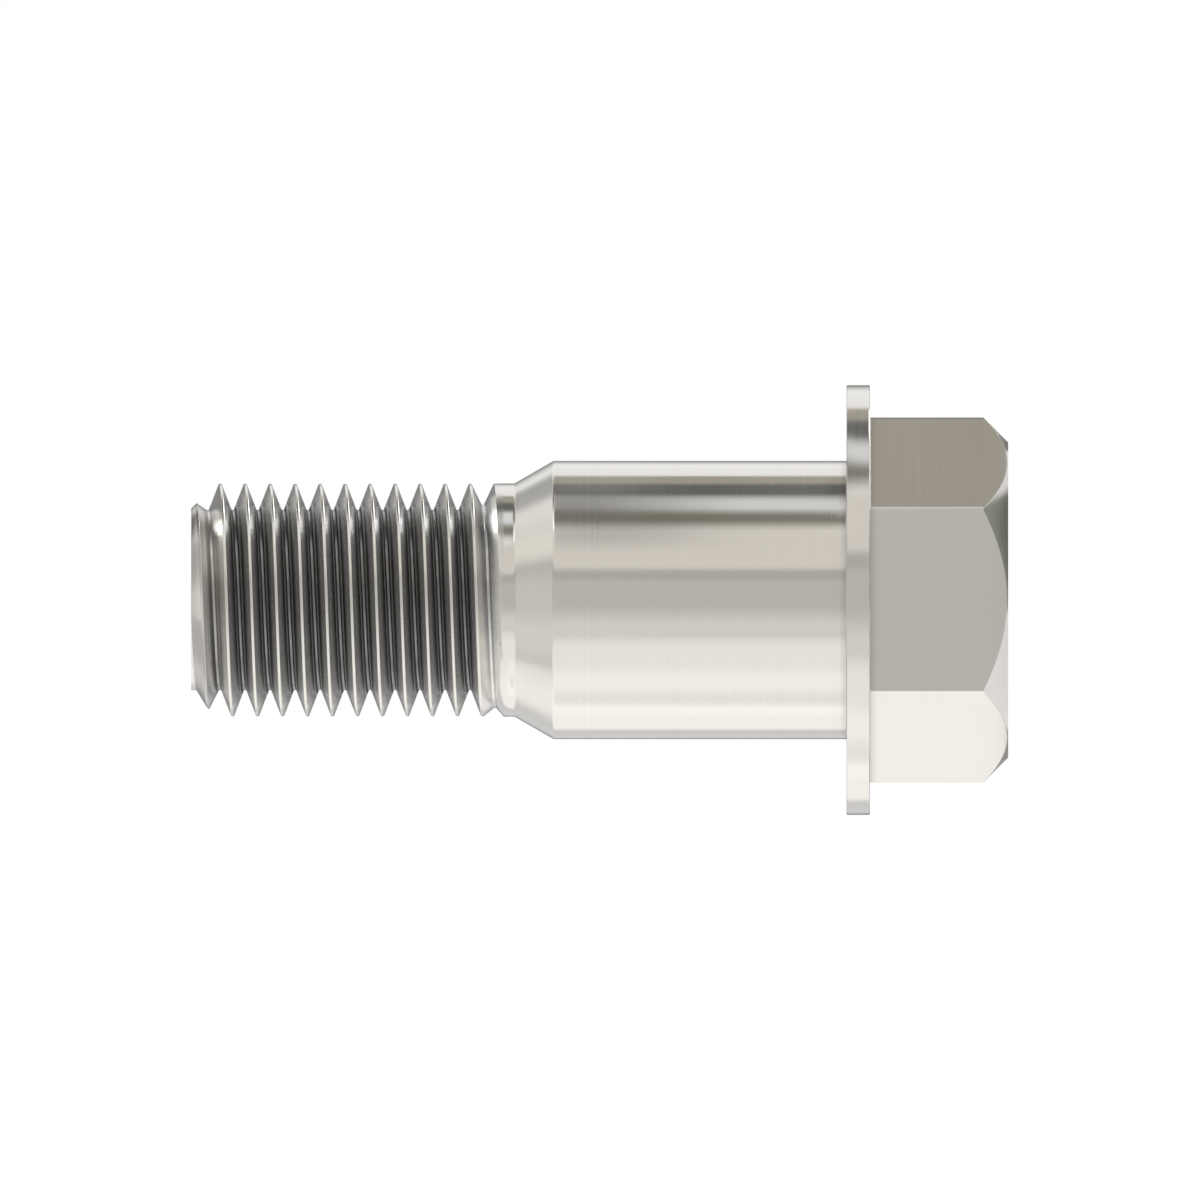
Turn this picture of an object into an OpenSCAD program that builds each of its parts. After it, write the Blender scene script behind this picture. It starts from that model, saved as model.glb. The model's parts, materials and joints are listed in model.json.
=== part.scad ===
// Flanged hex head screw with a fitted shoulder and a fine right-hand thread, in millimetres.
// The axis is Z. The origin is the middle of the flange's bearing face, and the thread points up.

/* [Head] */
// Width across the flats of the hexagon
wrench_size = 19; // [15:0.5:22]
// Height of the hexagon above the flange
hex_height = 8.3; // [5:0.1:14]
// Height of the 45 degree chamfer that takes the corners off the hexagon's end
hex_chamfer = 1.5; // [0.6:0.1:2.4]
// Diameter of the flange
flange_d = 25.8; // [23:0.2:34]
// Thickness of the flange
flange_t = 1.4; // [1:0.1:3]
// Chamfer on both rims of the flange
flange_break = 0.1; // [0.05:0.05:0.3]

/* [Shank] */
// Diameter of the fitted shoulder
shoulder_d = 16.7; // [15.5:0.1:19]
// Length of the shoulder, from the bearing face to the taper
shoulder_length = 17.6; // [8:0.5:30]
// Angle between the taper and the axis
taper_angle = 30; // [20:1:60]
// Radius at both ends of the taper
taper_round = 0.5; // [0.1:0.1:0.8]
// Length of the plain collar between the taper and the end of the thread
collar_length = 0.65; // [0.5:0.05:6]

/* [Thread] */
// Nominal diameter of the thread, which the collar has
thread_d = 14; // [12:0.5:15]
// Length of the thread, from the tip to the end of its run-out
thread_length = 18.75; // [12:0.25:40]
// Pitch of the thread
thread_pitch = 1.5; // [1.25:0.25:2]
// Depth of the thread, from crest to root
thread_depth = 1.57; // [0.8:0.01:1.7]
// How far the crests stand below the collar
crest_allowance = 0.02; // [0.01:0.01:0.05]
// Width of the flat on a crest
crest_width = 0.15; // [0.1:0.05:0.3]
// Width of the flat at the root of the groove
root_width = 0.15; // [0.1:0.05:0.3]
// Number of turns in which the groove grows shallow and ends
runout_turns = 1.05; // [0.5:0.05:2]
// Distance from the tip to the first crest, on the +X side
first_crest = 0.24; // [0:0.02:1.2]
// Diameter of the tip's end face, where its 45 degree chamfer starts
tip_d = 11; // [9:0.5:11.5]

/* [Hidden] */
STEEL = [0.74, 0.72, 0.68];

// The flat faces of the facets round the thread, and the straight parts of a rounded corner
THREAD_STEPS = 48;
ROUND_PARTS = 4;
// How far one solid reaches into the next
OVERLAP = 0.4;

shoulder_r = shoulder_d / 2;
collar_r = thread_d / 2;
flange_r = flange_d / 2;
corner_r = wrench_size / 2 / cos(30);
hex_end_z = -flange_t - hex_height;
taper_end_z = shoulder_length + (shoulder_r - collar_r) / tan(taper_angle);
collar_end_z = taper_end_z + collar_length;
tip_z = collar_end_z + thread_length;

crest_r = collar_r - crest_allowance;
root_r = crest_r - thread_depth;
tip_r = tip_d / 2;
half_pitch = thread_pitch / 2;

// What the thread's rows of points lie along: both edges of a crest, then both edges of a root
EDGES = [-crest_width / 2, crest_width / 2, half_pitch - root_width / 2, half_pitch + root_width / 2];
EDGE_COUNT = len(EDGES);
thread_base = thread_length + OVERLAP;
ROWS = EDGE_COUNT * (ceil(thread_base / thread_pitch) + 3);

function unit(v) = v / norm(v);
function limited(x, low, high) = max(low, min(high, x));
function between(a, b, share) = a + (b - a) * share;

// The arc of this radius that rounds a corner of a profile, between the points before and after it
function rounded(before, corner, after, radius) =
    let (u = unit(before - corner), v = unit(after - corner))
    let (half = acos(u * v) / 2, turn = 180 - 2 * half)
    let (centre = corner + unit(u + v) * radius / sin(half))
    let (from = corner + u * radius / tan(half) - centre, to = corner + v * radius / tan(half) - centre)
    [for (i = [0:ROUND_PARTS]) let (a = turn * i / ROUND_PARTS)
        centre + (from * sin(turn - a) + to * sin(a)) / sin(turn)];

// Radius of the crests at a distance from the tip, where the tip's chamfer takes them down to the root
function crest_radius(s) = limited(tip_r + s, root_r, crest_r);
// Radius of the root at a distance from the tip, which rises to the crests in the run-out
function root_radius(s) =
    crest_r - thread_depth * limited((thread_length - s) / thread_pitch / runout_turns, 0, 1);

// Radius of the thread's surface at a turn and a distance from the tip
function thread_radius(turn, s) =
    let (crest = first_crest - thread_pitch * turn)
    let (place = (s - crest) / thread_pitch, offset = (place - round(place)) * thread_pitch)
    let (side = offset < 0 ? -1 : 1, middle = s - offset)
    let (crest_edge = crest_width / 2, root_edge = half_pitch - root_width / 2)
    let (share = limited((abs(offset) - crest_edge) / (root_edge - crest_edge), 0, 1))
    between(crest_radius(middle + side * crest_edge), root_radius(middle + side * half_pitch), share);

// Distance from the tip of a row's point in a column, before the thread's ends limit it
function row_place(column, row) =
    first_crest + thread_pitch * (floor(row / EDGE_COUNT) - 1 - column / THREAD_STEPS)
    + EDGES[row % EDGE_COUNT];

function thread_point(column, row) =
    let (turn = column / THREAD_STEPS, s = limited(row_place(column, row), 0, thread_base))
    let (r = thread_radius(turn, s))
    [r * cos(360 * turn), r * sin(360 * turn), tip_z - s];

// The threaded length as one closed surface, with a column of points at each step round the axis.
// From the last column to the first, a row goes on as the row of the same edge one turn nearer the tip.
module thread() {
    points = [for (column = [0:THREAD_STEPS - 1]) for (row = [0:ROWS - 1]) thread_point(column, row)];
    first_rows = [for (column = [0:THREAD_STEPS - 1])
        len([for (row = [0:ROWS - 1]) if (row_place(column, row) <= 0) row]) - 1];
    last_rows = [for (column = [0:THREAD_STEPS - 1])
        len([for (row = [0:ROWS - 1]) if (row_place(column, row) < thread_base) row])];
    tip_centre = len(points);
    base_centre = tip_centre + 1;

    function index(column, row) =
        column < THREAD_STEPS
            ? column * ROWS + limited(row, first_rows[column], last_rows[column])
            : index(0, row - EDGE_COUNT);

    faces = [for (column = [0:THREAD_STEPS - 1]) each [
        for (row = [0:ROWS - 2])
            let (a = index(column, row), b = index(column, row + 1))
            let (c = index(column + 1, row), d = index(column + 1, row + 1))
            each [[a, c, d], [a, d, b]],
        [tip_centre, index(column + 1, 0), index(column, 0)],
        [base_centre, index(column, ROWS), index(column + 1, ROWS + EDGE_COUNT)]]];
    whole = [for (f = faces) if (f[0] != f[1] && f[1] != f[2] && f[2] != f[0]) f];
    centres = [[0, 0, tip_z], [0, 0, tip_z - thread_base]];
    polyhedron(concat(points, centres), whole, convexity = 20);
}

// The hexagon, with its corners turned down to a chamfer at the end and its base inside the flange
module hex_head() {
    end_r = corner_r - hex_chamfer;
    height = hex_height + flange_t / 2;
    outer_r = corner_r + height;
    translate([0, 0, hex_end_z]) intersection() {
        cylinder(r = corner_r, h = height, $fn = 6);
        rotate_extrude($fn = 96) polygon([
            [0, 0], [end_r, 0], [outer_r, outer_r - end_r], [0, outer_r - end_r]]);
    }
}

// The flange, the shoulder, the taper and the collar, turned in one piece
module flange_and_shank() {
    shoulder_start = [shoulder_r, 0];
    shoulder_end = [shoulder_r, shoulder_length];
    collar_start = [collar_r, taper_end_z];
    collar_end = [collar_r, collar_end_z];
    rotate_extrude($fn = 96) polygon(concat(
        [[0, -flange_t], [flange_r - flange_break, -flange_t], [flange_r, -flange_t + flange_break],
         [flange_r, -flange_break], [flange_r - flange_break, 0], shoulder_start],
        rounded(shoulder_start, shoulder_end, collar_start, taper_round),
        rounded(shoulder_end, collar_start, collar_end, taper_round),
        [collar_end, [0, collar_end_z]]));
}

module flanged_screw() {
    color(STEEL) {
        hex_head();
        flange_and_shank();
        thread();
    }
}

flanged_screw();
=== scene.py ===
"""A flanged hex head screw in bare turned steel, standing on its head in a pale studio.

The whole screw is one closed mesh: columns of points at fixed angles round the axis, joined row by row
from the middle of the head's end face to the middle of the tip. Lengths here are in millimetres, and go
over into metres where Blender takes them.
"""
import json
import math

import bpy
from mathutils import Matrix, Vector


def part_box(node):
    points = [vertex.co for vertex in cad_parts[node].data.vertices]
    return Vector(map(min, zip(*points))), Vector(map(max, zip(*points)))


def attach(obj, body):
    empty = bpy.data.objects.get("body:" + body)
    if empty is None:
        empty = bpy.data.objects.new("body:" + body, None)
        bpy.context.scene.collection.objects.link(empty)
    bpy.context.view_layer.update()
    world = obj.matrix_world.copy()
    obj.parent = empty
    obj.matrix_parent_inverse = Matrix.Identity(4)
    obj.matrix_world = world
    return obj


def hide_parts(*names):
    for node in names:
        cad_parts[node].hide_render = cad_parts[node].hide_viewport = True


MM = 0.001
NODE = "flanged_screw"

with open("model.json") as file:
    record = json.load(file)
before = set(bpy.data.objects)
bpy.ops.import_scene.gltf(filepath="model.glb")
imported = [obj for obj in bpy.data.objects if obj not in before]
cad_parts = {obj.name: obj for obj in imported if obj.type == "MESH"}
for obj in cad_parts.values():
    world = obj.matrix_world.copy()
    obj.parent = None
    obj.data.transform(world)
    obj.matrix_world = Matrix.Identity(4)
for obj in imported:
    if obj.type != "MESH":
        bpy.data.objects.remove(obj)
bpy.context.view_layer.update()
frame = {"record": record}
low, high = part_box(NODE)
mounts = {mount["name"]: mount for mount in frame["record"]["mounts"]}

# Places along the axis, and radii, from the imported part
HEAD_END_Z = low.z / MM
TIP_Z = high.z / MM
FLANGE_R = high.x / MM
SHOULDER_R = mounts["shoulder"]["dims"]["r_mm"]
THREAD_LENGTH = mounts["thread"]["dims"]["length_mm"]
CREST_R = mounts["thread"]["dims"]["r_mm"]

# Head and flange. The foot is where the hexagon meets the flange, and the seat where the shoulder does.
WRENCH_SIZE = 19.0
HEX_CHAMFER = 1.5
FLANGE_T = 1.4
EDGE_ROUND = 0.05
CORNER_ROUND = 0.06
SEAT_ROUND = 0.05
FOOT_ROUND = 0.02

# Shank
SHOULDER_LENGTH = 17.6
TAPER_ANGLE = math.radians(30)
TAPER_ROUND = 0.3
COLLAR_R = 7.0

# Thread. Its crests rise to the collar over the rise length, and its last point is a last step before it.
PITCH = 1.5
THREAD_DEPTH = 1.57
CREST_WIDTH = 0.15
ROOT_WIDTH = 0.15
CREST_ROUND = 0.06
TIP_ROUND = 0.1
ROOT_ROUND = 0.04
RUNOUT_TURNS = 1.05
FIRST_CREST = 0.24
TIP_R = 5.5
LAST_STEP = 0.12
RISE_LENGTH = 1.2

# Steps of the mesh: columns round the axis, with closer ones at these shares of the way round a corner of
# the hexagon, and the parts of a rounded edge with a support point on both sides of it
COLUMNS_ROUND = 180
CORNER_SHARES = (-1.15, -1, -0.67, -0.33, 0.33, 0.67, 1, 1.15)
ROUND_PARTS = 4
ARC_ROWS = ROUND_PARTS + 3
SUPPORT = 0.02
# The most that an arc and its support point may take of the line before or after it
ARC_SHARE = 0.3
SUPPORT_SHARE = 0.1

SIDES = 6
HALF_SIDE = 180.0 / SIDES
HEX_R = WRENCH_SIZE / 2
CORNER_R = HEX_R / math.cos(math.radians(HALF_SIDE))
HEX_END_R = CORNER_R - HEX_CHAMFER
TAPER_END_Z = SHOULDER_LENGTH + (SHOULDER_R - COLLAR_R) / math.tan(TAPER_ANGLE)
COLLAR_END_Z = TIP_Z - THREAD_LENGTH
THREAD_TURNS = math.ceil(THREAD_LENGTH / PITCH)

# Where these corners come in the body's profile, counted from 0 at the edge of the head's end face
CHAMFER_EDGE, HEX_FOOT, BACK_EDGE, SHOULDER_FOOT, COLLAR_START = 1, 2, 3, 5, 7

# The finishes, by their place in the screw's list of materials
TURNED, HEXAGON, THREAD, FLANGE, TAPER = range(5)

# Bare steel, and the greys of the thread's groove by depth: painted shade that deepens towards the root,
# with painted lighter bands near the crest and at the foot of the flanks
STEEL = (0.74, 0.72, 0.68)
GROOVE_SHADE_AND_HIGHLIGHT_GREYS = [
    # share of the thread's depth, grey
    (0.00, 0.72), (0.06, 0.86), (0.14, 0.72), (0.30, 0.59), (0.50, 0.46), (0.64, 0.42), (0.72, 0.46),
    (0.77, 0.70), (0.82, 0.60), (0.88, 0.24), (0.96, 0.14), (1.00, 0.15),
]
# The groove is flecked, from darker to lighter, as the marks and a share of the grain rise over a range
GROOVE_DARK, GROOVE_LIGHT = 0.6, 1.4
FLECK_GRAIN = 0.5
FLECK_RANGE = (0.55, 0.95)
# From here on at the tip the groove's painted shade gives way to bare steel, by this share
SHADE_FREE_TIP_Z = (TIP_Z - 1.7, TIP_Z - 1.2)
SHADE_FREE_TIP_SHARE = 0.55

# The noise of the tool marks, the grain and the clouds: scale, detail, roughness; and its usual range
MARK_NOISE = (1.0, 3.0, 0.6)
GRAIN_NOISE = (9000.0, 2.0, 0.5)
CLOUD_NOISE = (160.0, 2.0, 0.5)
NOISE_RANGE = (0.3, 0.7)
# How closely the marks lie, in lines a metre: rings, along and across the flats, and along the helix
RING_SCALE = 6000.0
FLAT_SCALES = (60.0, 60.0, 5000.0)
HELIX_SCALE = 6.0
HELIX_RISE_SCALE = 40.0

# Steel is painted darker, as shade, where other surface lies within the reach. The ranges go from closed in
# to open.
CLOSE_REACH = 0.7
CLOSE_RANGE = (0.35, 0.95)
CORNER_SHADE_SHARE = 0.72
GROOVE_RANGE = (0.42, 0.8)
OPENNESS_SAMPLES = 8
# The marks' streaks of light run across them, a quarter of a turn from the tangent round the axis
STREAK_TURN = 0.25

# Roughness that is added or taken away: by the marks and clouds everywhere, towards the shoulder's end,
# in the run-out, and in the band at the foot of the thread's flanks, which ends short of the tip
MARK_ROUGHNESS = 0.02
CLOUD_ROUGHNESS = 0.015
END_ROUGHNESS = 0.035
END_RISE_Z = (9.0, 16.0)
END_FALL_Z = (SHOULDER_LENGTH, SHOULDER_LENGTH + 0.4)
RUNOUT_POLISH = 0.09
RUNOUT_Z = (COLLAR_END_Z + 0.1, COLLAR_END_Z + 0.7)
FLANK_FOOT_ROUGHNESS = 0.34
FLANK_FOOT_START = (0.72, 0.78)
FLANK_FOOT_END = (0.92, 0.97)
FLANK_FOOT_Z = (TIP_Z - 2.4, TIP_Z - 1.9)

# The camera looks along +Y with the tip to its left, and this width of the scene fills the image
VIEW_WIDTH = 72.03
VIEW_MIDDLE_Z = 14.8
CAMERA_DISTANCE = 400.0
CAMERA_CLIP = (10.0, 10000.0)

# The floor is a ring round the head, from a little inside the head's end face, and fades out to its rim
FLOOR_R = 48.0
FLOOR_FADE = (20.0, 0.98 * FLOOR_R)
FLOOR_STEPS = 96
FLOOR_OVERLAP = 0.1
FLOOR_DROP = 0.01
FLOOR_GREY = (0.74, 0.74, 0.74)
FLOOR_ROUGHNESS = 0.9
# The camera sees the floor near to white by this much light of its own
FLOOR_GLOW = 0.36
# What the head and the flange reflect of the floor near them is painted into the floor for reflected rays
# only: a painted reflection of shade in dim green in front, with a glowing patch on either side of it,
# and two more glowing patches beside the head. Each is a span along x, along y, or from the green's middle.
NEAR_HEAD_Y = (-16.0, -11.5)
REFLECTED_SHADE_GREEN = (0.60, 0.645, 0.60)
REFLECTED_SHADE_MIDDLE_X = 3.0
REFLECTED_SHADE_EDGE = (3.0, 3.8)
REFLECTED_GLOW = 0.5
REFLECTED_GLOW_EDGE = (3.2, 4.0)
REFLECTED_GLOW_END_Y = (-5.8, -5.0)
OUTER_REFLECTED_GLOW_X = (10.3, 11.0)
OUTER_REFLECTED_GLOW_END_X = (14.0, 17.0)
OUTER_REFLECTED_GLOW_Y = (2.0, 4.0)
CORNER_REFLECTED_GLOW_X = (6.3, 7.0)
CORNER_REFLECTED_GLOW_Y = (-3.4, -2.8)

# The studio's light by its height, in degrees above the level of the screw's axis towards +X, in front of
# the screw (the camera's side) and behind it. Each panel or cloth reaches from one height to another, with
# soft edges this many degrees wide, over those before it and the wall.
WALL = (0.28, 0.28, 0.28)
STRIP = (0.34, 0.34, 0.34)
IN_FRONT = [
    # from, to, soft edges, light
    (-95, -30, 10, 12, (1.18, 1.17, 1.15)),
    (-100, -82, 8, 12, (1.03, 1.02, 1.01)),
    (-62, -33, 14, 22, (1.04, 1.04, 1.03)),
    (-34, 6, 22, 12, (0.84, 0.83, 0.82)),
    (-13, 20, 20, 6, (0.61, 0.605, 0.59)),
    (17, 25, 4, 4, (0.53, 0.51, 0.49)),
    (25, 100, 5, 8, (0.82, 0.79, 0.75)),
    (65, 100, 12, 8, (0.24, 0.24, 0.20)),
    (81, 100, 6, 6, STRIP),
]
BEHIND = [
    (-100, -38, 8, 18, (1.18, 1.17, 1.15)),
    (-40, -14, 16, 12, (0.74, 0.745, 0.76)),
    (-80, -68, 8, 10, (1.27, 1.25, 1.22)),
    (-100, -83, 8, 8, (1.03, 1.02, 1.01)),
    (20, 100, 22, 8, (1.04, 1.04, 1.04)),
    (54, 100, 4, 8, (0.425, 0.40, 0.352)),
    (67, 100, 6, 8, (0.15, 0.15, 0.15)),
    (82, 100, 6, 6, STRIP),
]
# How far round to the back the one goes over into the other, as a sine
FRONT_TO_BACK = (-0.6, 0.6)
# The light above the tip and under the head, and the upward share of the directions where each sets in
OVERHEAD = (0.87, 0.865, 0.85)
OVERHEAD_Z = (0.8, 0.95)
UNDERNEATH = (1.0, 1.0, 1.0)
UNDERNEATH_Z = (-0.4, -0.2)
CLOTHS = [
    # direction, angles from it where the cloth or card starts and ends to fade, light
    ((0.0, 0.25, 0.97), 10, 22, (0.69, 0.69, 0.68)),
    ((0.37, 0.16, 0.917), 9, 24, (0.46, 0.46, 0.45)),
    ((-0.40, 0.32, 0.86), 12, 22, (0.54, 0.54, 0.54)),
    ((0.60, 0.55, 0.58), 10, 19, (0.50, 0.50, 0.50)),
    ((0.40, 0.69, 0.61), 10, 19, (0.18, 0.18, 0.17)),
    ((-0.60, -0.19, 0.775), 2, 9, (0.74, 0.73, 0.71)),
    ((0.58, -0.23, 0.785), 5, 13, (0.96, 0.93, 0.88)),
]
BACKDROP = (1.0, 1.0, 1.0)
COOL_LIGHT = (0.96, 0.98, 1.04)

# The strip light is a row of parts this far out along +X. Each part has its middle across, half its width,
# its reach along the axis, its light, and from where to where along the axis its light fades, if it does.
STRIP_X = 40.0
STRIP_SOFT = 7.0
STRIP_PARTS = [
    ("flange", -11.8, 8.8, (-4.0, 0.0), 0.54, None),
    ("flange_low", -27.0, 8.0, (-4.0, 0.0), 0.18, None),
    ("shoulder", -8.2, 8.7, (0.0, 18.3), 0.50, (6.0, 16.0)),
    ("shoulder_end", 5.0, 6.0, (8.0, 18.3), 0.06, (16.0, 9.0)),
    ("collar", -5.6, 9.5, (19.3, 21.8), 0.74, None),
    ("collar_low", -26.0, 9.0, (19.3, 21.8), 0.25, None),
    ("thread", -17.0, 12.0, (23.5, 42.0), 0.70, None),
]

# A grey gauze hangs before the strip light and the wall in front, at the shoulder's tip end
GAUZE_X = STRIP_X - 4.0
GAUZE_Y = (-60.0, 4.0)
GAUZE_Z = (5.0, 18.8)
GAUZE_GREY = (0.69, 0.69, 0.69)
GAUZE_NEAR_Y = (-26.0, -2.0)
GAUZE_FAR_Y = (-52.0, -26.0)
GAUZE_RISE_Z = (5.0, 15.0)

# One soft square lamp, low and to one side, facing the origin
LAMP_PLACE = (252.0, 104.0, -98.0)
LAMP_SIZE = 125.0
LAMP_LIGHT = 8.0


def limited(x, lowest, highest):
    return max(lowest, min(highest, x))


def metres(span):
    return tuple(length * MM for length in span)


def rounded(before, corner, after, radius):
    """The arc that rounds a corner of a profile, with a support point beside each of its ends."""
    before, corner, after = Vector(before), Vector(corner), Vector(after)
    to_before, to_after = before - corner, after - corner
    half = to_before.angle(to_after) / 2
    reach = min(radius / math.tan(half), ARC_SHARE * min(to_before.length, to_after.length))
    radius = reach * math.tan(half)
    u, v = to_before.normalized(), to_after.normalized()
    centre = corner + (u + v).normalized() * radius / math.sin(half)
    start, finish = corner + u * reach - centre, corner + v * reach - centre
    turn = math.pi - 2 * half
    points = [corner + u * (reach + min(SUPPORT, SUPPORT_SHARE * to_before.length))]
    for i in range(ROUND_PARTS + 1):
        a = turn * i / ROUND_PARTS
        points.append(centre + (start * math.sin(turn - a) + finish * math.sin(a)) / math.sin(turn))
    points.append(corner + v * (reach + min(SUPPORT, SUPPORT_SHARE * to_after.length)))
    return [tuple(p) for p in points]


def column_angles():
    """Angles in degrees: even steps, and closer ones round the hexagon's corners."""
    corner_step = math.degrees(CORNER_ROUND * math.tan(math.radians(HALF_SIDE)) / CORNER_R)
    angles = {360.0 * i / COLUMNS_ROUND for i in range(COLUMNS_ROUND)}
    angles |= {(2 * HALF_SIDE * corner + corner_step * share) % 360
               for corner in range(SIDES) for share in CORNER_SHARES}
    return sorted(angles)


def hex_radius(angle):
    """Distance from the axis to the hexagon's side at an angle in degrees, with its corners rounded."""
    from_corner = abs((angle + HALF_SIDE) % (2 * HALF_SIDE) - HALF_SIDE)
    flat = HEX_R / math.cos(math.radians(HALF_SIDE - from_corner))
    middle = CORNER_R - CORNER_ROUND / math.cos(math.radians(HALF_SIDE))
    a = math.radians(from_corner)
    inside = CORNER_ROUND ** 2 - (middle * math.sin(a)) ** 2
    if inside <= 0:
        return flat
    return min(flat, middle * math.cos(a) + math.sqrt(inside))


def body_profile(angle):
    """The (radius, z) points of one column, from the head's end face to the collar.

    Every corner has ARC_ROWS points.
    """
    side_r = hex_radius(angle)
    corners = [
        ((HEX_END_R, HEAD_END_Z), EDGE_ROUND),
        ((side_r, HEAD_END_Z + side_r - HEX_END_R), EDGE_ROUND),
        ((side_r, -FLANGE_T), FOOT_ROUND),
        ((FLANGE_R, -FLANGE_T), EDGE_ROUND),
        ((FLANGE_R, 0.0), EDGE_ROUND),
        ((SHOULDER_R, 0.0), SEAT_ROUND),
        ((SHOULDER_R, SHOULDER_LENGTH), TAPER_ROUND),
        ((COLLAR_R, TAPER_END_Z), TAPER_ROUND),
    ]
    path = [(0.0, HEAD_END_Z)] + [corner for corner, radius in corners] + [(COLLAR_R, COLLAR_END_Z)]
    points = []
    for i, (corner, radius) in enumerate(corners):
        points += rounded(path[i], corner, path[i + 2], radius)
    return points


def body_row_kinds():
    """The finish of the body's rows of faces that aren't just turned, by the point that each starts at."""
    hexagon = range(CHAMFER_EDGE * ARC_ROWS + 2, HEX_FOOT * ARC_ROWS + 1)
    flange = range(BACK_EDGE * ARC_ROWS, SHOULDER_FOOT * ARC_ROWS + 1)
    kinds = {row: HEXAGON for row in hexagon} | {row: FLANGE for row in flange}
    kinds[COLLAR_START * ARC_ROWS - 1] = TAPER
    return kinds


def thread_shape():
    """One pitch of the thread as (distance from the crest's middle, share of the depth) points."""
    crest_edge = (CREST_WIDTH / 2, 0.0)
    root_edge = (PITCH / 2 - ROOT_WIDTH / 2, -THREAD_DEPTH)
    half = rounded((0.0, 0.0), crest_edge, root_edge, CREST_ROUND)
    half += rounded(crest_edge, root_edge, (PITCH / 2, -THREAD_DEPTH), ROOT_ROUND)
    falling = [(offset, -depth / THREAD_DEPTH) for offset, depth in half]
    rising = [(PITCH - offset, share) for offset, share in reversed(falling)]
    return [(0.0, 0.0)] + falling + [(PITCH / 2, 1.0)] + rising


def thread_radius(crest_s, offset, share):
    """Radius of a point of the thread's shape, for the crest at a distance from the tip."""
    side = 0 if offset < PITCH / 2 else PITCH
    crest_at = crest_s + side + limited(offset - side, -CREST_WIDTH / 2, CREST_WIDTH / 2)
    root_at = crest_s + PITCH / 2
    deepest = CREST_R - THREAD_DEPTH
    crest = limited(TIP_R + crest_at, deepest, CREST_R)
    cut = limited((THREAD_LENGTH - root_at) / PITCH / RUNOUT_TURNS, 0, 1)
    root = CREST_R - THREAD_DEPTH * cut
    to_collar = limited((crest_s + offset - THREAD_LENGTH) / RISE_LENGTH + 1, 0, 1)
    return crest + (root - crest) * share + (COLLAR_R - CREST_R) * to_collar


def thread_column(angle, shape):
    """(distance from the tip, radius) points of a column's thread, from beyond the tip to the collar."""
    turn = angle / 360
    points = []
    for k in range(-1, THREAD_TURNS + 2):
        crest_s = FIRST_CREST + PITCH * (k - turn)
        points += [(crest_s + offset, thread_radius(crest_s, offset, share)) for offset, share in shape]
    return points


def screw_mesh():
    """The closed mesh of the whole screw, and the finish of each face."""
    angles = column_angles()
    columns = len(angles)
    shape = thread_shape()
    per_turn = len(shape)
    verts, faces, kinds = [], [], []

    def place(angle, r, z):
        a = math.radians(angle)
        verts.append((r * math.cos(a) * MM, r * math.sin(a) * MM, z * MM))
        return len(verts) - 1

    def face(kind, *corners):
        loop = [c for i, c in enumerate(corners) if c != corners[i - 1]]
        if len(set(loop)) > 2:
            faces.append(loop)
            kinds.append(kind)

    head_centre = place(0, 0, HEAD_END_Z)
    body = [[place(angle, r, z) for r, z in body_profile(angle)] for angle in angles]
    row_kinds = body_row_kinds()

    thread, tip = [], []
    for angle in angles:
        points = thread_column(angle, shape)
        first = max(i for i, (s, r) in enumerate(points) if s <= 0)
        last = min(i for i, (s, r) in enumerate(points) if s >= THREAD_LENGTH - LAST_STEP)
        (s0, r0), (s1, r1) = points[first], points[first + 1]
        tip_r = min(TIP_R, r0 + (r1 - r0) * (0 - s0) / (s1 - s0))
        edge = rounded((0.0, 0.0), (0.0, tip_r), points[first + 2], TIP_ROUND)
        edge = [place(angle, r, TIP_Z - s) for s, r in edge]
        tip.append(edge)
        row = [edge[-1]]
        row += [place(angle, r, TIP_Z - s) for s, r in points[first + 2:last]]
        row.append(place(angle, COLLAR_R, COLLAR_END_Z))
        thread.append((first, row))
    tip_centre = place(0, 0, TIP_Z)

    # From the last column to the first, a row of the thread goes on as the same row of the turn before
    def thread_index(column, row):
        if column == columns:
            return thread_index(0, row - per_turn)
        first, points = thread[column]
        return points[limited(row - first - 1, 0, len(points) - 1)]

    end = per_turn * (THREAD_TURNS + 3)
    for c in range(columns):
        after = (c + 1) % columns
        face(TURNED, head_centre, body[after][0], body[c][0])
        for row in range(len(body[0]) - 1):
            face(row_kinds.get(row, TURNED),
                 body[c][row], body[after][row], body[after][row + 1], body[c][row + 1])
        face(TURNED, body[c][-1], body[after][-1], thread_index(c + 1, end), thread_index(c, end))
        for row in range(end, 0, -1):
            face(THREAD, thread_index(c, row), thread_index(c + 1, row),
                 thread_index(c + 1, row - 1), thread_index(c, row - 1))
        for row in range(len(tip[c]) - 1, 0, -1):
            face(TURNED, tip[c][row], tip[after][row], tip[after][row - 1], tip[c][row - 1])
        face(TURNED, tip_centre, tip[c][0], tip[after][0])
    return verts, faces, kinds


def add_object(name, data):
    thing = bpy.data.objects.new(name, data)
    bpy.context.scene.collection.objects.link(thing)
    return thing


def add_material(name, mesh):
    """A new material for a mesh, given as its node tree."""
    material = bpy.data.materials.new(name)
    material.use_nodes = True
    mesh.materials.append(material)
    return material.node_tree


def link(tree, output, target):
    tree.links.new(output, target)


def fill(tree, sockets, values):
    """Each socket gets a number or another node's output."""
    for socket, value in zip(sockets, values):
        if isinstance(value, (int, float)):
            socket.default_value = value
        else:
            link(tree, value, socket)


def math_node(tree, operation, *inputs):
    node = tree.nodes.new("ShaderNodeMath")
    node.operation = operation
    fill(tree, node.inputs, inputs)
    return node.outputs[0]


def product(tree, first, *others):
    for other in others:
        first = math_node(tree, "MULTIPLY", first, other)
    return first


def vector_node(tree, x, y, z):
    node = tree.nodes.new("ShaderNodeCombineXYZ")
    fill(tree, node.inputs, (x, y, z))
    return node.outputs[0]


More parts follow.
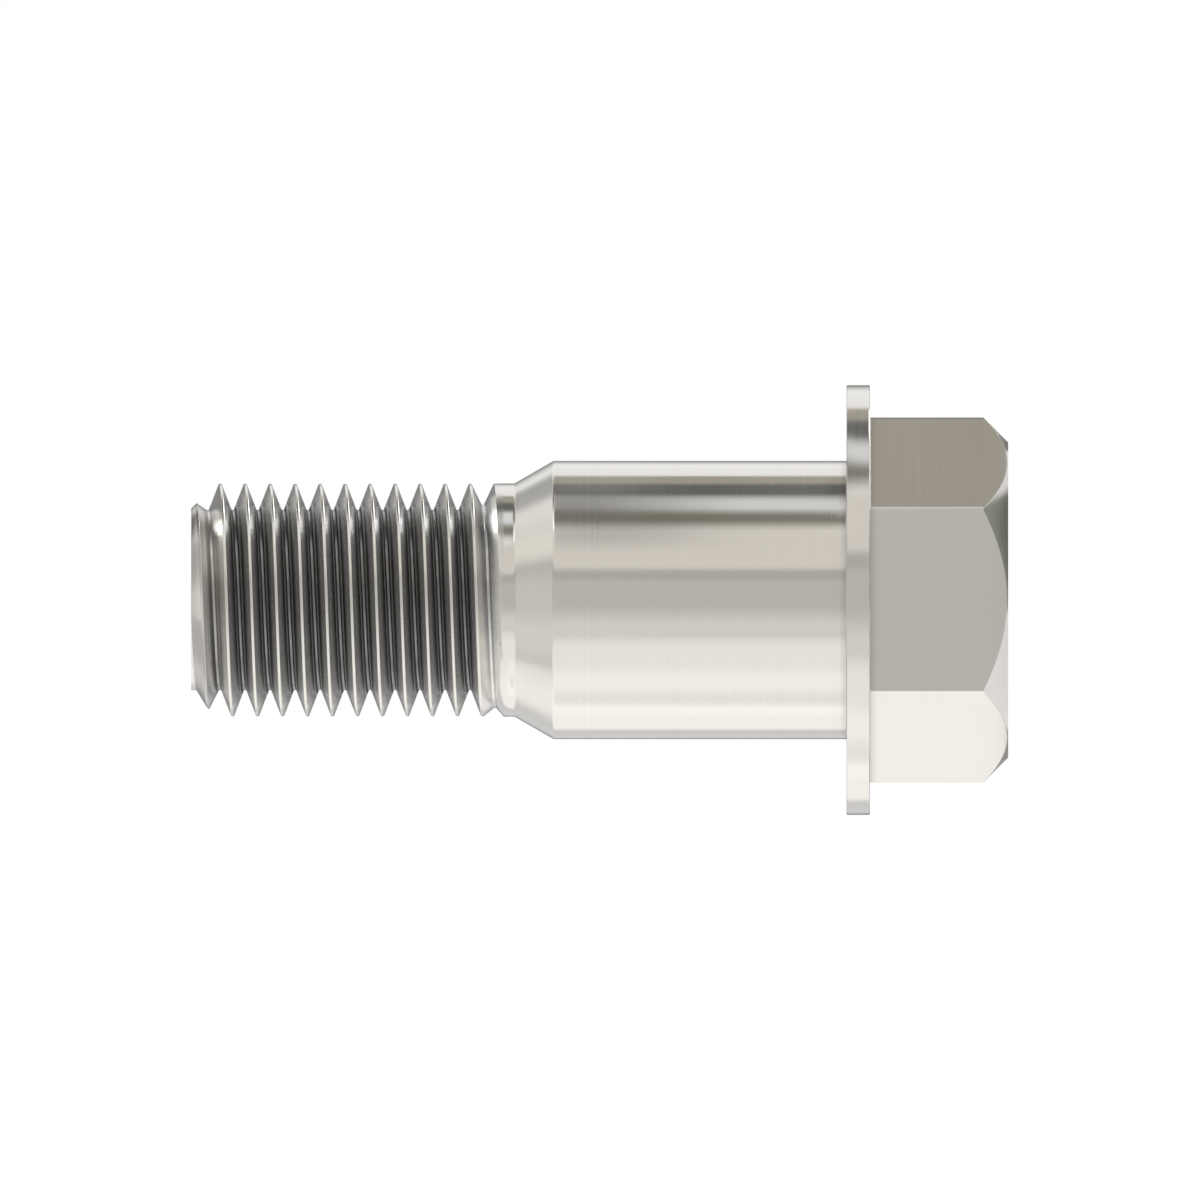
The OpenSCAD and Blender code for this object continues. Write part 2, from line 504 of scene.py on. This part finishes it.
def parts_of(tree, vector):
    """The x, y and z of a vector."""
    split = tree.nodes.new("ShaderNodeSeparateXYZ")
    link(tree, vector, split.inputs[0])
    return split.outputs


def position_node(tree):
    """The place of a point of the surface, in metres from the object's origin."""
    return tree.nodes.new("ShaderNodeTexCoord").outputs["Object"]


def noise_node(tree, vector, scale, detail, roughness):
    node = tree.nodes.new("ShaderNodeTexNoise")
    node.inputs["Scale"].default_value = scale
    node.inputs["Detail"].default_value = detail
    node.inputs["Roughness"].default_value = roughness
    link(tree, vector, node.inputs["Vector"])
    return node.outputs["Fac"]


def range_node(tree, value, span, first, last, smooth=False):
    """The first number before a span of the value, the last one after it, and a change between in it."""
    node = tree.nodes.new("ShaderNodeMapRange")
    node.interpolation_type = "SMOOTHSTEP" if smooth else "LINEAR"
    for socket, number in zip(("From Min", "From Max", "To Min", "To Max"), (*span, first, last)):
        node.inputs[socket].default_value = number
    link(tree, value, node.inputs["Value"])
    return node.outputs["Result"]


def rise(tree, value, span, top=1.0):
    return range_node(tree, value, span, 0.0, top, smooth=True)


def fall(tree, value, span, top=1.0):
    return range_node(tree, value, span, top, 0.0, smooth=True)


def colour_mix(tree, factor, first, second):
    """A mix of two colours, each a plain colour or another node's output."""
    node = tree.nodes.new("ShaderNodeMix")
    node.data_type = "RGBA"
    link(tree, factor, node.inputs["Factor"])
    for socket, colour in (("A", first), ("B", second)):
        if isinstance(colour, tuple):
            node.inputs[socket].default_value = (*colour, 1)
        else:
            link(tree, colour, node.inputs[socket])
    return node.outputs["Result"]


def ramp_node(tree, value, stops, amount):
    """Greys at given places of a value from 0 to 1, all of them times an amount."""
    node = tree.nodes.new("ShaderNodeValToRGB")
    ramp = node.color_ramp
    while len(ramp.elements) < len(stops):
        ramp.elements.new(0.5)
    for element, (place, grey) in zip(ramp.elements, stops):
        element.position = place
        element.color = (amount * grey, amount * grey, amount * grey, 1)
    link(tree, value, node.inputs["Fac"])
    return node.outputs["Color"]


def shade(colour, amount):
    return tuple(min(1.0, amount * c) for c in colour)


def openness(tree, reach, span):
    """0 where the surface has other surface close round it, and 1 where it lies open."""
    node = tree.nodes.new("ShaderNodeAmbientOcclusion")
    node.samples = OPENNESS_SAMPLES
    node.only_local = True
    node.inputs["Distance"].default_value = reach * MM
    return rise(tree, node.outputs["AO"], span)


def axis_distance(tree, x, y):
    return math_node(tree, "SQRT", math_node(tree, "ADD", product(tree, x, x), product(tree, y, y)))


def turned_marks(tree, x, y, z):
    """Rings round the axis."""
    return vector_node(tree, product(tree, axis_distance(tree, x, y), RING_SCALE),
                       product(tree, z, RING_SCALE), 0.0)


def hex_marks(tree, x, y, z):
    """Straight lines across the flats."""
    return vector_node(tree, *(product(tree, place, scale) for place, scale in zip((x, y, z), FLAT_SCALES)))


def thread_marks(tree, x, y, z):
    """Lines along the helix, the same in each turn."""
    turn = math_node(tree, "DIVIDE", math_node(tree, "ARCTAN2", y, x), 2 * math.pi)
    height = math_node(tree, "DIVIDE", z, PITCH * MM)
    phase = product(tree, math_node(tree, "SUBTRACT", height, turn), 2 * math.pi)
    return vector_node(tree, product(tree, math_node(tree, "COSINE", phase), HELIX_SCALE),
                       product(tree, math_node(tree, "SINE", phase), HELIX_SCALE),
                       product(tree, z, HELIX_RISE_SCALE))


def steel(mesh, name, marks, contrast, roughness, anisotropy, depth,
          grain_share=0.4, dull_end=False, groove=False):
    """A finish of bare steel with tool marks, as the mesh's next material.

    marks(tree, x, y, z) gives the marks' texture coordinates, contrast is their share of the colour and
    depth is their height, to which the grain adds its share. A dull end is rougher towards the
    shoulder's end. Where the steel lies enclosed its colour is painted shade: on a groove the thread's
    greys by depth, with painted lighter bands, and elsewhere a darker share of the steel. A groove also
    has its own roughness.
    """
    tree = add_material(name, mesh)
    shader = tree.nodes["Principled BSDF"]
    shader.inputs["Metallic"].default_value = 1.0
    shader.inputs["Anisotropic"].default_value = anisotropy
    shader.inputs["Anisotropic Rotation"].default_value = STREAK_TURN
    position = position_node(tree)
    x, y, z = parts_of(tree, position)
    lines = noise_node(tree, marks(tree, x, y, z), *MARK_NOISE)
    grain = noise_node(tree, position, *GRAIN_NOISE)
    clouds = noise_node(tree, position, *CLOUD_NOISE)
    line_share = range_node(tree, lines, NOISE_RANGE, 0.0, 1.0)

    def marked(amount):
        return colour_mix(tree, line_share, shade(STEEL, amount - contrast), shade(STEEL, amount + contrast))

    # Enclosed surface gets painted shade: the groove's greys by depth with painted lighter bands, or darker
    # steel
    if groove:
        below_crest = math_node(tree, "SUBTRACT", CREST_R * MM, axis_distance(tree, x, y))
        depth_share = math_node(tree, "DIVIDE", below_crest, THREAD_DEPTH * MM)
        flecks = math_node(tree, "ADD", lines, product(tree, grain, FLECK_GRAIN))
        fleck = range_node(tree, flecks, FLECK_RANGE, 0.0, 1.0)
        painted_shade_colour = colour_mix(tree, fleck, ramp_node(tree, depth_share, GROOVE_SHADE_AND_HIGHLIGHT_GREYS, GROOVE_DARK),
                            ramp_node(tree, depth_share, GROOVE_SHADE_AND_HIGHLIGHT_GREYS, GROOVE_LIGHT))
        at_tip = rise(tree, z, metres(SHADE_FREE_TIP_Z), SHADE_FREE_TIP_SHARE)
        open_share = math_node(tree, "MAXIMUM", openness(tree, PITCH, GROOVE_RANGE), at_tip)
    else:
        painted_shade_colour = marked(CORNER_SHADE_SHARE)
        open_share = openness(tree, CLOSE_REACH, CLOSE_RANGE)
    link(tree, colour_mix(tree, open_share, painted_shade_colour, marked(1.0)), shader.inputs["Base Color"])

    rough = [
        range_node(tree, lines, NOISE_RANGE, -MARK_ROUGHNESS, MARK_ROUGHNESS),
        range_node(tree, clouds, NOISE_RANGE, roughness - CLOUD_ROUGHNESS, roughness + CLOUD_ROUGHNESS),
    ]
    if dull_end:
        rough.append(product(tree, rise(tree, z, metres(END_RISE_Z), END_ROUGHNESS),
                             range_node(tree, z, metres(END_FALL_Z), 1.0, 0.0)))
    if groove:
        rough.append(range_node(tree, z, metres(RUNOUT_Z), -RUNOUT_POLISH, 0.0))
        rough.append(product(tree, rise(tree, depth_share, FLANK_FOOT_START, FLANK_FOOT_ROUGHNESS),
                             fall(tree, depth_share, FLANK_FOOT_END),
                             range_node(tree, z, metres(FLANK_FOOT_Z), 1.0, 0.0)))
    total = rough[0]
    for more in rough[1:]:
        total = math_node(tree, "ADD", total, more)
    link(tree, total, shader.inputs["Roughness"])

    bump = tree.nodes.new("ShaderNodeBump")
    bump.inputs["Strength"].default_value = 1.0
    bump.inputs["Distance"].default_value = depth * MM
    link(tree, math_node(tree, "ADD", lines, product(tree, grain, grain_share)), bump.inputs["Height"])
    link(tree, bump.outputs["Normal"], shader.inputs["Normal"])

    tangent = tree.nodes.new("ShaderNodeTangent")
    tangent.direction_type = "RADIAL"
    tangent.axis = "Z"
    link(tree, tangent.outputs["Tangent"], shader.inputs["Tangent"])


def make_screw():
    verts, faces, kinds = screw_mesh()
    mesh = bpy.data.meshes.new("screw")
    mesh.from_pydata(verts, [], faces)
    mesh.validate()
    # In the order of TURNED, HEXAGON, THREAD, FLANGE and TAPER
    steel(mesh, "turned_steel", turned_marks, contrast=0.015, roughness=0.11, anisotropy=0.6, depth=0.0007,
          dull_end=True)
    steel(mesh, "hex_steel", hex_marks, contrast=0.01, roughness=0.11, anisotropy=0.0, depth=0.0002)
    steel(mesh, "thread_steel", thread_marks, contrast=0.03, roughness=0.2, anisotropy=0.0, depth=0.004,
          grain_share=0.9, groove=True)
    steel(mesh, "flange_steel", turned_marks, contrast=0.015, roughness=0.125, anisotropy=0.3, depth=0.001,
          grain_share=1.5)
    steel(mesh, "taper_steel", turned_marks, contrast=0.015, roughness=0.18, anisotropy=0.3, depth=0.0007)
    mesh.polygons.foreach_set("material_index", kinds)
    mesh.polygons.foreach_set("use_smooth", [True] * len(faces))
    mesh.update()
    screw = add_object("screw", mesh)
    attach(screw, "root")
    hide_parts(NODE)


def floor_mesh():
    turns = [2 * math.pi * i / FLOOR_STEPS for i in range(FLOOR_STEPS)]
    rings = [(r * MM * math.cos(a), r * MM * math.sin(a), (HEAD_END_Z - FLOOR_DROP) * MM)
             for r in (HEX_END_R - FLOOR_OVERLAP, FLOOR_R) for a in turns]
    faces = []
    for i in range(FLOOR_STEPS):
        after = (i + 1) % FLOOR_STEPS
        faces.append((i, FLOOR_STEPS + i, FLOOR_STEPS + after, after))
    mesh = bpy.data.meshes.new("floor")
    mesh.from_pydata(rings, [], faces)
    return mesh


def make_floor():
    """A pale floor round the head, which fades out to the white behind it and is clear from below."""
    mesh = floor_mesh()
    floor = add_object("floor", mesh)
    tree = add_material("floor_white", mesh)
    shader = tree.nodes["Principled BSDF"]
    shader.inputs["Roughness"].default_value = FLOOR_ROUGHNESS
    shader.inputs["Emission Color"].default_value = (*COOL_LIGHT, 1)
    x, y, z = parts_of(tree, position_node(tree))
    seen = tree.nodes.new("ShaderNodeLightPath")
    # Reflected rays near the head see painted reflections here: dim green shade in front, and patches that
    # glow
    beside = math_node(tree, "ABSOLUTE", math_node(tree, "SUBTRACT", x, REFLECTED_SHADE_MIDDLE_X * MM))
    near_head = product(tree, seen.outputs["Is Glossy Ray"], rise(tree, y, metres(NEAR_HEAD_Y)))

    in_reflected_shade = product(tree, near_head, fall(tree, beside, metres(REFLECTED_SHADE_EDGE)))
    link(tree, colour_mix(tree, in_reflected_shade, FLOOR_GREY, REFLECTED_SHADE_GREEN), shader.inputs["Base Color"])

    # Painted glow that only reflected rays see, on either side of the green and beside the head
    reflected_glow_beside = product(tree, rise(tree, beside, metres(REFLECTED_GLOW_EDGE), REFLECTED_GLOW),
                     fall(tree, y, metres(REFLECTED_GLOW_END_Y)))
    outer = product(tree, rise(tree, x, metres(OUTER_REFLECTED_GLOW_X), REFLECTED_GLOW),
                    fall(tree, x, metres(OUTER_REFLECTED_GLOW_END_X)), fall(tree, y, metres(OUTER_REFLECTED_GLOW_Y)))
    corner = product(tree, rise(tree, x, metres(CORNER_REFLECTED_GLOW_X), REFLECTED_GLOW),
                     fall(tree, y, metres(CORNER_REFLECTED_GLOW_Y)))
    reflected_glow = math_node(tree, "MAXIMUM", reflected_glow_beside, math_node(tree, "MAXIMUM", outer, corner))
    glow = math_node(tree, "MAXIMUM", product(tree, seen.outputs["Is Camera Ray"], FLOOR_GLOW),
                     product(tree, near_head, reflected_glow))
    link(tree, glow, shader.inputs["Emission Strength"])

    from_below = tree.nodes.new("ShaderNodeNewGeometry").outputs["Backfacing"]
    shown = product(tree, fall(tree, axis_distance(tree, x, y), metres(FLOOR_FADE)),
                    math_node(tree, "SUBTRACT", 1.0, from_below))
    link(tree, shown, shader.inputs["Alpha"])


def light_bands(tree, height, bands):
    """The light by height, from a list of panels."""
    light = WALL
    for start, end, start_soft, end_soft, colour in bands:
        above = rise(tree, height, (start - start_soft / 2, start + start_soft / 2))
        below = fall(tree, height, (end - end_soft / 2, end + end_soft / 2))
        light = colour_mix(tree, product(tree, above, below), light, colour)
    return light


def make_studio():
    """The light of the studio as the screw sees it; the camera sees plain white behind the screw."""
    world = bpy.data.worlds.new("studio")
    world.use_nodes = True
    bpy.context.scene.world = world
    tree = world.node_tree
    towards = tree.nodes.new("ShaderNodeTexCoord").outputs["Generated"]
    x, y, z = parts_of(tree, towards)
    height = math_node(tree, "DEGREES", math_node(tree, "ARCSINE", x))
    turned = math_node(tree, "DIVIDE", y, axis_distance(tree, y, z))
    to_back = rise(tree, turned, FRONT_TO_BACK)
    light = colour_mix(tree, to_back, light_bands(tree, height, IN_FRONT), light_bands(tree, height, BEHIND))
    light = colour_mix(tree, rise(tree, z, OVERHEAD_Z), light, OVERHEAD)
    light = colour_mix(tree, fall(tree, z, UNDERNEATH_Z), light, UNDERNEATH)
    for direction, inner, outer, colour in CLOTHS:
        along = tree.nodes.new("ShaderNodeVectorMath")
        along.operation = "DOT_PRODUCT"
        link(tree, towards, along.inputs[0])
        along.inputs[1].default_value = Vector(direction).normalized()
        edge = (math.cos(math.radians(outer)), math.cos(math.radians(inner)))
        light = colour_mix(tree, rise(tree, along.outputs["Value"], edge), light, colour)
    seen = tree.nodes.new("ShaderNodeLightPath").outputs["Is Camera Ray"]
    link(tree, colour_mix(tree, seen, light, BACKDROP), tree.nodes["Background"].inputs["Color"])


def make_screen(name, x, middle_y, y_span, z_span):
    """A plane beside the screw that only its reflections show, and its material's empty node tree."""
    low_y, high_y = metres(y_span)
    near_z, far_z = metres(z_span)
    corners = [(0, low_y, near_z), (0, high_y, near_z), (0, high_y, far_z), (0, low_y, far_z)]
    mesh = bpy.data.meshes.new(name)
    mesh.from_pydata(corners, [], [(0, 1, 2, 3)])
    screen = add_object(name, mesh)
    screen.location = (x * MM, middle_y * MM, 0)
    screen.visible_camera = screen.visible_diffuse = screen.visible_shadow = False
    tree = add_material(name, mesh)
    tree.nodes.clear()
    return screen, tree


def make_strip_light(part, middle, half, reach, light, fade):
    """One part of the strip light, which shines and lets all other light through."""
    strip, tree = make_screen("strip_" + part, STRIP_X, middle, (-half, half), reach)
    x, y, z = parts_of(tree, position_node(tree))
    strength = fall(tree, math_node(tree, "ABSOLUTE", y), metres((half - STRIP_SOFT, half)), light)
    if fade:
        strength = product(tree, strength, range_node(tree, z, metres(fade), 1.0, 0.0))
    glow = tree.nodes.new("ShaderNodeEmission")
    glow.inputs["Color"].default_value = (*COOL_LIGHT, 1)
    link(tree, strength, glow.inputs["Strength"])
    clear = tree.nodes.new("ShaderNodeBsdfTransparent")
    both = tree.nodes.new("ShaderNodeAddShader")
    link(tree, glow.outputs[0], both.inputs[0])
    link(tree, clear.outputs[0], both.inputs[1])
    link(tree, both.outputs[0], tree.nodes.new("ShaderNodeOutputMaterial").inputs["Surface"])


def make_gauze():
    """The gauze, which darkens what lies behind it towards its middle and the tip."""
    gauze, tree = make_screen("gauze", GAUZE_X, 0.0, GAUZE_Y, GAUZE_Z)
    x, y, z = parts_of(tree, position_node(tree))
    share = product(tree, fall(tree, y, metres(GAUZE_NEAR_Y)), rise(tree, y, metres(GAUZE_FAR_Y)),
                    rise(tree, z, metres(GAUZE_RISE_Z)))
    clear = tree.nodes.new("ShaderNodeBsdfTransparent")
    link(tree, colour_mix(tree, share, (1.0, 1.0, 1.0), GAUZE_GREY), clear.inputs["Color"])
    link(tree, clear.outputs[0], tree.nodes.new("ShaderNodeOutputMaterial").inputs["Surface"])


def make_lamp():
    data = bpy.data.lights.new("low_lamp", "AREA")
    data.shape = "RECTANGLE"
    data.size = data.size_y = LAMP_SIZE * MM
    data.energy = LAMP_LIGHT * math.pi * data.size * data.size_y
    lamp = add_object("low_lamp", data)
    place = Vector(LAMP_PLACE)
    lamp.rotation_mode = "QUATERNION"
    lamp.rotation_quaternion = place.to_track_quat("Z", "Y")
    lamp.location = place * MM
    lamp.visible_camera = False


def make_camera():
    """Side on, with the tip to the left of the image and +X up."""
    data = bpy.data.cameras.new("camera")
    data.type = "ORTHO"
    data.ortho_scale = VIEW_WIDTH * MM
    data.clip_start, data.clip_end = metres(CAMERA_CLIP)
    camera = add_object("camera", data)
    right, up, back = Vector((0, 0, -1)), Vector((1, 0, 0)), Vector((0, -1, 0))
    camera.matrix_world = Matrix.Translation((0, -CAMERA_DISTANCE * MM, VIEW_MIDDLE_Z * MM)) @ (
        Matrix((right, up, back)).transposed().to_4x4())
    bpy.context.scene.camera = camera


make_camera()
make_screw()
make_floor()
make_studio()
for strip_part in STRIP_PARTS:
    make_strip_light(*strip_part)
make_gauze()
make_lamp()
bpy.context.scene.view_settings.view_transform = "Standard"
